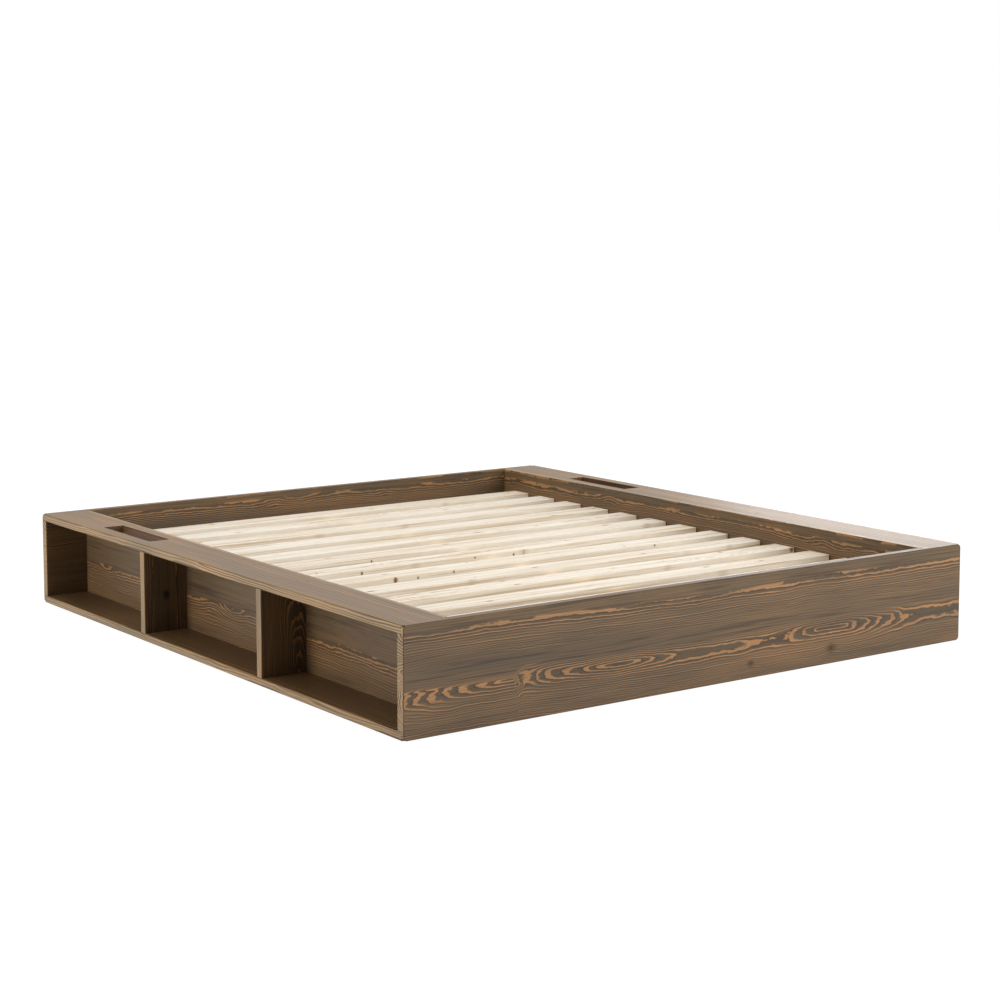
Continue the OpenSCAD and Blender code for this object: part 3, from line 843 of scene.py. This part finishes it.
def stained_pine(node, sawn, groups, look):
    """Brushed pine under a brown stain, with the board's own rings, eyes and knots."""
    material, graph, shader = new_material("stained_pine_" + node)
    place, half = board_place(graph, node, sawn.way, sawn.face)
    parts = graph.parts(place)
    rings, knots = board_rings(graph, groups, sawn, place, parts, half)
    ends, long_edges, sideways, arris = edge_masks(graph, sawn.way, parts, half)
    edges = graph.larger(ends, long_edges)
    count = ring_count(graph, sawn, place, parts, rings["Count"], long_edges)
    line, band, island, any_band = ring_marks(graph, sawn, look, place, rings, count, edges)

    ground = stained_ground(graph, sawn, look, place, parts, island, rings["Quiet"])
    ground = graph.mix(edges, ground, look.edge)
    edge_light = [share * part for share, part in zip(EDGE_LIGHT, look.edge)]
    colour = graph.mix(band, ground, graph.mix(edges, look.latewood, edge_light))
    dark = graph.mix(edges, look.ring_line, scaled(look.edge, EDGE_DARK))
    colour = graph.mix(line, colour, dark)
    drift = graph.ramp(graph.noise(place, sawn.seed + 3.0, *DRIFT), *DRIFT_TONES)
    colour = graph.toned(colour, drift)
    streaks = graph.noise(place, sawn.seed + 4.0, *STREAKS)
    colour = graph.toned(colour, graph.ramp(streaks, *STREAK_TONES))
    for near in knots:
        colour = draw_knot(graph, colour, near, scaled(look.knot, sawn.knot_tone), look.ring_line)
    tone = board_tone_and_painted_shade(graph, node, sawn, look, parts, half, edges, sideways)
    rough = uneven(graph, streaks, look.roughness, ROUGHNESS_SPREAD)
    fibres = graph.noise(place, sawn.seed + 5.0, *FIBRES)
    height = graph.total(graph.product(any_band, BAND_RELIEF), graph.product(fibres, FIBRE_RELIEF))
    graph.fill(shader, {
        "Base Color": graph.toned(colour, tone),
        "Roughness": graph.between(arris, rough, ARRIS_ROUGHNESS),
        "Specular IOR Level": graph.between(arris, look.gloss, ARRIS_GLOSS * look.gloss),
        "Normal": graph.bump(height, *RELIEF),
    })
    return material


# The log that all the pale pine is cut from, and where in a ring its line starts, is whole, fades, ends
PALE_LOG = {"Heart": 0.02, "Depth": 0.012, "Next depth": 0.008, "Spacing": 0.241, "Reach": 0.03,
            "Wave": 0.4, "Seed": 51.0, "Steep": 1.0}
PALE_LINE = (0.40, 0.78, 0.90, 0.98)
# Patches where the lines show more, darker bands and fine streaks
PALE_PATCHES = ((1.6, 16.0, 16.0), 2.0)
PALE_PATCHY = (0.40, 0.66)
LINES_BY_PATCH = (0.55, 0.10)
PALE_BANDS = ((1.4, 36.0, 36.0), 2.0)
PALE_BAND_EDGE = (0.44, 0.70)
PALE_BAND_TONE = (0.90, 0.86, 0.79)
PALE_STREAKS = ((2.2, 150.0, 150.0), 2.0)
PALE_STREAK_EDGE = (0.52, 0.70)
PALE_STREAK_TONE = (0.76, 0.65, 0.51)
# How far the normal has to point out of a face, against an edge, and the painted shade of the faces: they
# are toned darker and greyer than the edges, so that the sides read lighter
FACING_OUT = (0.40, 0.90)
FACE_PAINTED_SHADE = (0.89, 0.91, 0.94)
PALE_FIBRES = ((20.0, 1200.0, 1200.0), 2.0)
PALE_RELIEF = (0.0001, 0.4)
# Small knots lie in cells. Scales of the cells, how the dice pick a knot's size, and the largest size
KNOT_CELLS = (5.0, 15.0, 0.0)
KNOT_PICKED = (0.45, 1.0)
LARGEST_SMALL_KNOT = 0.060
SMALL_HALO_EDGE = (-0.12, 0.0)
SMALL_HALO_STRENGTH = 0.50
SMALL_KNOT_EDGE = (-0.012, 0.012)
SMALL_KNOT_STRENGTH = 0.85
# How a placed knot is stretched along the bed's axes, and its reach as a share of its radius
PLACED_KNOT_SHAPE = (1.0, 1.0, 0.75)
PLACED_KNOT_REACH = 1.7


def pale_pine(name, groups, look, way, centre=(0.0, 0.0, 0.0), knots=()):
    """Planed pine with faint rings and small knots. Its figure follows the place in the bed."""
    material, graph, shader = new_material(name)
    coords = graph.coords()
    away = [-part for part in centre]
    centred = graph.add("ShaderNodeMapping", {"Vector": coords, "Location": away})
    parts = graph.parts(centred.outputs[0])
    place = graph.point(*(parts[axis] for axis in way))
    values = {**PALE_LOG, "Place": place, "Gap": look.ring_gap}
    rings = graph.add("ShaderNodeGroup", values, node_tree=groups["rings"]).outputs
    start, whole, fading, end = PALE_LINE
    lines = graph.ramp(
        graph.maths("FRACT", rings["Count"]),
        (0.0, look.wood), (start, look.wood), (whole, look.streak), (fading, look.streak), (end, look.wood))
    patchy = graph.step(graph.noise(place, 53.0, *PALE_PATCHES), *PALE_PATCHY)
    colour = graph.mix(graph.slope(patchy, *LINES_BY_PATCH), look.wood, lines)
    bands = graph.step(graph.noise(place, 54.0, *PALE_BANDS), *PALE_BAND_EDGE)
    colour = graph.toned(colour, PALE_BAND_TONE, bands)
    streaks = graph.step(graph.noise(place, 56.0, *PALE_STREAKS), *PALE_STREAK_EDGE)
    colour = graph.toned(colour, PALE_STREAK_TONE, streaks)
    # Painted shade: the broad faces are darker and greyer than the sides, to balance how the lamps light
    # them
    facing = graph.parts(graph.vector("ABSOLUTE", graph.coords("Normal")))[way[2]]
    colour = graph.toned(colour, FACE_PAINTED_SHADE, graph.step(facing, *FACING_OUT))

    cells = graph.add(
        "ShaderNodeTexVoronoi",
        {"Vector": graph.vector("MULTIPLY", place, KNOT_CELLS), "Scale": 1.0, "Randomness": 1.0},
        voronoi_dimensions="2D").outputs
    dice = graph.add("ShaderNodeSeparateColor", {"Color": cells["Color"]}).outputs
    limit = graph.product(graph.step(dice["Red"], *KNOT_PICKED), LARGEST_SMALL_KNOT)
    inside = graph.maths("SUBTRACT", limit, cells["Distance"])
    halo = graph.product(graph.step(inside, *SMALL_HALO_EDGE), SMALL_HALO_STRENGTH)
    colour = graph.mix(halo, colour, look.streak)
    core = graph.product(graph.step(inside, *SMALL_KNOT_EDGE), SMALL_KNOT_STRENGTH)
    colour = graph.mix(core, colour, look.knot)
    for x, y, z, radius in knots:
        away = graph.vector("MULTIPLY", graph.vector("SUBTRACT", coords, (x, y, z)), PLACED_KNOT_SHAPE)
        near = graph.maths("DIVIDE", graph.vector("LENGTH", away), PLACED_KNOT_REACH * radius)
        colour = draw_knot(graph, colour, near, look.knot, look.streak)
    fibres = graph.noise(place, 55.0, *PALE_FIBRES)
    graph.fill(shader, {
        "Base Color": colour,
        "Roughness": uneven(graph, fibres, look.roughness, ROUGHNESS_SPREAD),
        "Normal": graph.bump(fibres, *PALE_RELIEF),
    })
    return material


# The mottle of a plain finish: its scale, how much broader its patches of tone are, and those tones
MOTTLE_SCALE = 900.0
MOTTLE_BREADTH = 12
MOTTLE_TONES = ((0.3, (0.88, 0.88, 0.88)), (0.7, (1.08, 1.08, 1.08)))
MOTTLE_SPREAD = 0.2
MOTTLE_STRENGTH = 0.4


def plain_finish(name, colour, roughness, metallic=0.0, grain=0.0002):
    """A fitting's finish: one colour with a fine mottle in tone, gloss and height."""
    material, graph, shader = new_material(name)
    coords = graph.coords()
    mottle = graph.noise(coords, 61.0, (MOTTLE_SCALE,) * 3, 3.0)
    broad = graph.noise(coords, 62.0, (MOTTLE_SCALE / MOTTLE_BREADTH,) * 3, 2.0)
    shades = graph.ramp(broad, *MOTTLE_TONES)
    graph.fill(shader, {
        "Base Color": graph.toned(colour, shades),
        "Roughness": uneven(graph, mottle, roughness, MOTTLE_SPREAD),
        "Metallic": metallic,
        "Normal": graph.bump(mottle, grain, MOTTLE_STRENGTH),
    })
    return material


# The tape's weave: scales of its two sets of threads, by direction, their wander, tones and relief
THREADS = {"X": 420.0, "Y": 300.0}
THREAD_WANDER = 0.4
WEAVE_TONES = ((0.0, (0.72, 0.72, 0.72)), (1.0, (1.06, 1.06, 1.06)))
WEAVE_RELIEF = (0.0003, 0.6)
TAPE_ROUGHNESS = 0.85


def woven_tape(name, colour):
    """Cotton tape: a plain weave in relief."""
    material, graph, shader = new_material(name)
    coords = graph.coords()
    threads = [
        graph.add("ShaderNodeTexWave", {"Vector": coords, "Scale": scale, "Distortion": THREAD_WANDER},
                  bands_direction=axis).outputs["Fac"]
        for axis, scale in THREADS.items()]
    weave = graph.product(*threads)
    shades = graph.ramp(weave, *WEAVE_TONES)
    graph.fill(shader, {
        "Base Color": graph.toned(colour, shades),
        "Roughness": TAPE_ROUGHNESS,
        "Normal": graph.bump(weave, *WEAVE_RELIEF),
    })
    return material


def dress(node, material):
    """Gives a CAD node its finish."""
    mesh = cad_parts[node].data
    mesh.materials.clear()
    mesh.materials.append(material)


def deselect():
    for thing in bpy.context.selected_objects:
        thing.select_set(False)


def settle(piece):
    """Puts a finished piece's place into its mesh, so that its object sits at the origin."""
    deselect()
    piece.select_set(True)
    bpy.context.view_layer.objects.active = piece
    bpy.ops.object.transform_apply(location=True, rotation=True, scale=True)
    return piece


class BED_OT_stained_boards(bpy.types.Operator):
    """Finish the stained boards, each with its own figure"""

    bl_idname = "bed.stained_boards"
    bl_label = "Stained boards"

    def execute(self, context):
        look = context.scene.bed_pine
        groups = wood_groups()
        for node, sawn in BOARD_CUTS.items():
            dress(node, stained_pine(node, sawn, groups, look))
        return {"FINISHED"}


class BED_OT_slatted_base(bpy.types.Operator):
    """Finish the pale slats and the tapes under them"""

    bl_idname = "bed.slatted_base"
    bl_label = "Slatted base"

    def execute(self, context):
        look = context.scene.bed_slats
        pine = pale_pine("slat_pine", wood_groups(), look, SLAT_WAY, knots=SLAT_KNOTS)
        for node in SLATS:
            dress(node, pine)
        tape = woven_tape("slat_tape", context.scene.bed_fittings.webbing)
        for node in TAPES:
            dress(node, tape)
        return {"FINISHED"}


class BED_OT_supports(bpy.types.Operator):
    """Finish the rails, the centre beam and its legs"""

    bl_idname = "bed.supports"
    bl_label = "Supports"

    def execute(self, context):
        look = context.scene.bed_slats
        along = pale_pine("rail_pine", wood_groups(), look, ON_EDGE_ALONG, centre=(0.1, 0.3, 0.2))
        upright = pale_pine("leg_pine", wood_groups(), look, UPRIGHT, centre=(0.05, 0.1, 0.1))
        for node in ("left_slat_rail", "right_slat_rail", "centre_beam"):
            dress(node, along)
        for node in ("centre_leg_head", "centre_leg_foot"):
            dress(node, upright)
        return {"FINISHED"}


class BED_OT_fittings(bpy.types.Operator):
    """Finish the brackets, hangers, screws, dowels, studs and glides"""

    bl_idname = "bed.fittings"
    bl_label = "Fittings"

    def execute(self, context):
        look = context.scene.bed_fittings
        zinc = plain_finish("zinc_steel", look.steel, roughness=0.38, metallic=1.0, grain=0.00005)
        beech = plain_finish("dowel_beech", look.dowel, roughness=0.6)
        plastic = plain_finish("glide_plastic", look.plastic, roughness=0.5)
        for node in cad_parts:
            if "bracket" in node or "hanger" in node or "screws" in node or "studs" in node:
                dress(node, zinc)
            elif "dowels" in node:
                dress(node, beech)
            elif "glides" in node:
                dress(node, plastic)
        return {"FINISHED"}


def pick(piece, kind, wanted):
    """Selects, in edit mode, only the faces or edges of a piece that are wanted."""
    bpy.ops.object.mode_set(mode="EDIT")
    bpy.ops.mesh.select_mode(type=kind)
    bpy.ops.mesh.select_all(action="DESELECT")
    bpy.ops.object.mode_set(mode="OBJECT")
    for part in {"EDGE": piece.data.edges, "FACE": piece.data.polygons}[kind]:
        part.select = wanted(part)
    bpy.ops.object.mode_set(mode="EDIT")


# How far up a face points to count as one that faces up
UPWARD = 0.9
# The width of a leg's point as a share of the leg, and the round of a shoulder as a share of the wire
STAPLE_POINT = 0.25
STAPLE_ROUND = 0.8
ROUND_SEGMENTS = 3


def bend_staple(width, wire, leg):
    """A wire staple, its crown down and centred, with two pointed legs turned up."""
    deselect()
    bpy.ops.mesh.primitive_cube_add(size=1.0, location=(0.0, 0.0, 0.0), scale=(width, wire, wire))
    staple = settle(bpy.context.object)
    bpy.ops.object.mode_set(mode="EDIT")
    for side in (-1, 1):
        bpy.ops.mesh.select_all(action="SELECT")
        bpy.ops.mesh.bisect(plane_co=(side * (width / 2 - wire), 0.0, 0.0), plane_no=(1.0, 0.0, 0.0))
    bpy.ops.object.mode_set(mode="OBJECT")
    pick(staple, "FACE", lambda face: face.normal.z > UPWARD and abs(face.center.x) > width / 2 - wire)
    bpy.ops.mesh.extrude_region_move(TRANSFORM_OT_translate={"value": (0.0, 0.0, leg)})
    bpy.ops.object.mode_set(mode="OBJECT")
    pick(staple, "FACE", lambda face: face.normal.z > UPWARD and face.center.z > leg)
    bpy.ops.transform.resize(value=(1.0, STAPLE_POINT, 1.0))
    bpy.ops.object.mode_set(mode="OBJECT")
    outside = width / 2 - wire / 4

    def is_shoulder(edge):
        ends = [staple.data.vertices[place].co for place in edge.vertices]
        return all(end.z < 0.0 and abs(end.x) > outside for end in ends)

    pick(staple, "EDGE", is_shoulder)
    bpy.ops.mesh.bevel(offset=wire * STAPLE_ROUND, segments=ROUND_SEGMENTS, affect="EDGES")
    bpy.ops.mesh.select_all(action="SELECT")
    bpy.ops.mesh.normals_make_consistent(inside=False)
    bpy.ops.object.mode_set(mode="OBJECT")
    return staple


class BED_OT_tape_staples(bpy.types.Operator):
    """Staple the tapes to every slat, two staples a crossing"""

    bl_idname = "bed.tape_staples"
    bl_label = "Tape staples"

    def execute(self, context):
        look = context.scene.bed_fittings
        first = bend_staple(look.staple_width, look.staple_wire, look.staple_leg)
        wire = plain_finish("staple_steel", look.steel, roughness=0.35, metallic=1.0, grain=0.00003)
        first.data.materials.append(wire)
        deselect()
        copies = []
        for tape in TAPES:
            low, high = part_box(tape)
            for slat in SLATS:
                slat_low, slat_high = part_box(slat)
                middle_y = (slat_low.y + slat_high.y) / 2
                for side in (-0.5, 0.5):
                    copy = first.copy()
                    copy.data = first.data.copy()
                    copy.location = ((low.x + high.x) / 2, middle_y + side * look.staple_spacing,
                                     low.z - look.staple_wire / 2)
                    context.collection.objects.link(copy)
                    copies.append(copy)
        bpy.data.objects.remove(first)
        deselect()
        for copy in copies:
            copy.select_set(True)
        context.view_layer.objects.active = copies[0]
        bpy.ops.object.join()
        staples = context.object
        staples.name = "tape_staples"
        settle(staples)
        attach(staples, "slat_base")
        return {"FINISHED"}


def aimed(place, target):
    """The turn of a lamp that stands at a place and shines at a target."""
    return (Vector(target) - Vector(place)).to_track_quat("-Z", "Y").to_euler()


# What the lamps shine at, and the lamps: place, width, height and the setting with their power
LAMP_TARGET = (0.0, 0.0, 0.15)
SOFTBOXES = {
    "top_softbox": ((0.0, 0.2, 4.2), 4.5, 4.5, "top_power"),
    "front_softbox": ((2.4, -5.6, 1.9), 3.5, 2.0, "front_power"),
    "left_softbox": ((-5.0, 0.6, 1.4), 1.8, 1.4, "left_power"),
    "rim_softbox": ((5.0, 2.4, 1.1), 3.0, 1.0, "rim_power"),
}
# The camera's sensor, in millimetres, and how far it sees
SENSOR_WIDTH = 36.0
CLIP_END = 200.0
# What the camera sees of the floor: its glow, its share near the bed and from how far off it is whole
FLOOR_GLOW = 1.12
NEAR_GLOW = 0.82
GLOW_DISTANCES = (1.6, 5.0)
FLOOR_ROUGHNESS = 0.9


def add_softbox(name, place, width, height, power):
    bpy.ops.object.light_add(type="AREA", location=place, rotation=aimed(place, LAMP_TARGET))
    lamp = bpy.context.object
    lamp.name = name
    lamp.data.shape = "RECTANGLE"
    lamp.data.size = width
    lamp.data.size_y = height
    lamp.data.energy = power
    lamp.visible_camera = False


def seen_directly(graph):
    """1 for the rays that see the background: straight, in a reflection or through glass."""
    path = graph.add("ShaderNodeLightPath").outputs
    seen = graph.larger(path["Is Camera Ray"], path["Is Glossy Ray"])
    return graph.larger(seen, path["Is Transmission Ray"])


class BED_OT_stage(bpy.types.Operator):
    """Lay the floor, hang the lamps and place the camera"""

    bl_idname = "bed.stage"
    bl_label = "Stage"

    def execute(self, context):
        look = context.scene.bed_stage
        self.lay_floor(look)
        self.light_world(context.scene, look)
        for name, (place, width, height, power) in SOFTBOXES.items():
            add_softbox(name, place, width, height, getattr(look, power))
        bpy.ops.object.camera_add(
            location=look.camera_place,
            rotation=(math.pi / 2 - look.camera_tilt, 0.0, -look.camera_turn),
        )
        camera = context.object
        camera.data.lens = look.lens
        camera.data.sensor_width = SENSOR_WIDTH
        camera.data.shift_y = -look.camera_shift
        camera.data.clip_end = CLIP_END
        context.scene.camera = camera
        context.scene.view_settings.view_transform = "Standard"
        return {"FINISHED"}

    def lay_floor(self, look):
        deselect()
        bpy.ops.mesh.primitive_plane_add(size=look.floor_size, location=(0.0, 0.0, 0.0))
        floor = bpy.context.object
        floor.name = "floor"
        material, graph, shader = new_material("floor_white")
        graph.fill(shader, {"Base Color": look.floor_colour, "Roughness": FLOOR_ROUGHNESS})
        glow = graph.add("ShaderNodeEmission", {"Color": WHITE, "Strength": FLOOR_GLOW})
        away = graph.vector("LENGTH", graph.coords())
        share = graph.between(graph.step(away, *GLOW_DISTANCES), NEAR_GLOW, 1.0)
        share = graph.product(seen_directly(graph), share)
        both = graph.add("ShaderNodeMixShader")
        graph.feed(both.inputs[0], share)
        graph.feed(both.inputs[1], shader.outputs[0])
        graph.feed(both.inputs[2], glow.outputs[0])
        end = material.node_tree.nodes["Material Output"]
        graph.feed(end.inputs["Surface"], both.outputs[0])
        floor.data.materials.append(material)

    def light_world(self, scene, look):
        world = bpy.data.worlds.new("studio")
        world.use_nodes = True
        scene.world = world
        graph = Graph(world.node_tree)
        sky = world.node_tree.nodes["Background"]
        graph.feed(sky.inputs["Color"], WHITE)
        extra = graph.product(seen_directly(graph), 1.0 - look.ambient)
        graph.feed(sky.inputs["Strength"], graph.total(extra, look.ambient))


class BED_PT_panel(bpy.types.Panel):
    """Lists the operators and the sizes and colours that they use"""

    bl_idname = "BED_PT_panel"
    bl_label = "Storage bed frame"
    bl_space_type = "VIEW_3D"
    bl_region_type = "UI"
    bl_category = "Bed frame"

    def draw(self, context):
        layout = self.layout
        for operator in OPERATORS:
            layout.operator(operator.bl_idname)
        for owner in SETTINGS:
            box = layout.box()
            settings = getattr(context.scene, owner)
            for name in settings.__annotations__:
                box.prop(settings, name)


SETTINGS = {
    "bed_pine": BedPineSettings,
    "bed_slats": BedSlatSettings,
    "bed_fittings": BedFittingSettings,
    "bed_stage": BedStageSettings,
}
OPERATORS = (
    BED_OT_stained_boards,
    BED_OT_slatted_base,
    BED_OT_supports,
    BED_OT_fittings,
    BED_OT_tape_staples,
    BED_OT_stage,
)
CLASSES = (*SETTINGS.values(), *OPERATORS, BED_PT_panel)


def register():
    for cls in CLASSES:
        bpy.utils.register_class(cls)
    for owner, group in SETTINGS.items():
        setattr(bpy.types.Scene, owner, bpy.props.PointerProperty(type=group))


def unregister():
    for owner in SETTINGS:
        delattr(bpy.types.Scene, owner)
    for cls in reversed(CLASSES):
        bpy.utils.unregister_class(cls)


def main():
    register()
    bpy.ops.bed.stained_boards()
    bpy.ops.bed.slatted_base()
    bpy.ops.bed.supports()
    bpy.ops.bed.fittings()
    bpy.ops.bed.tape_staples()
    bpy.ops.bed.stage()


if __name__ == "__main__":
    main()
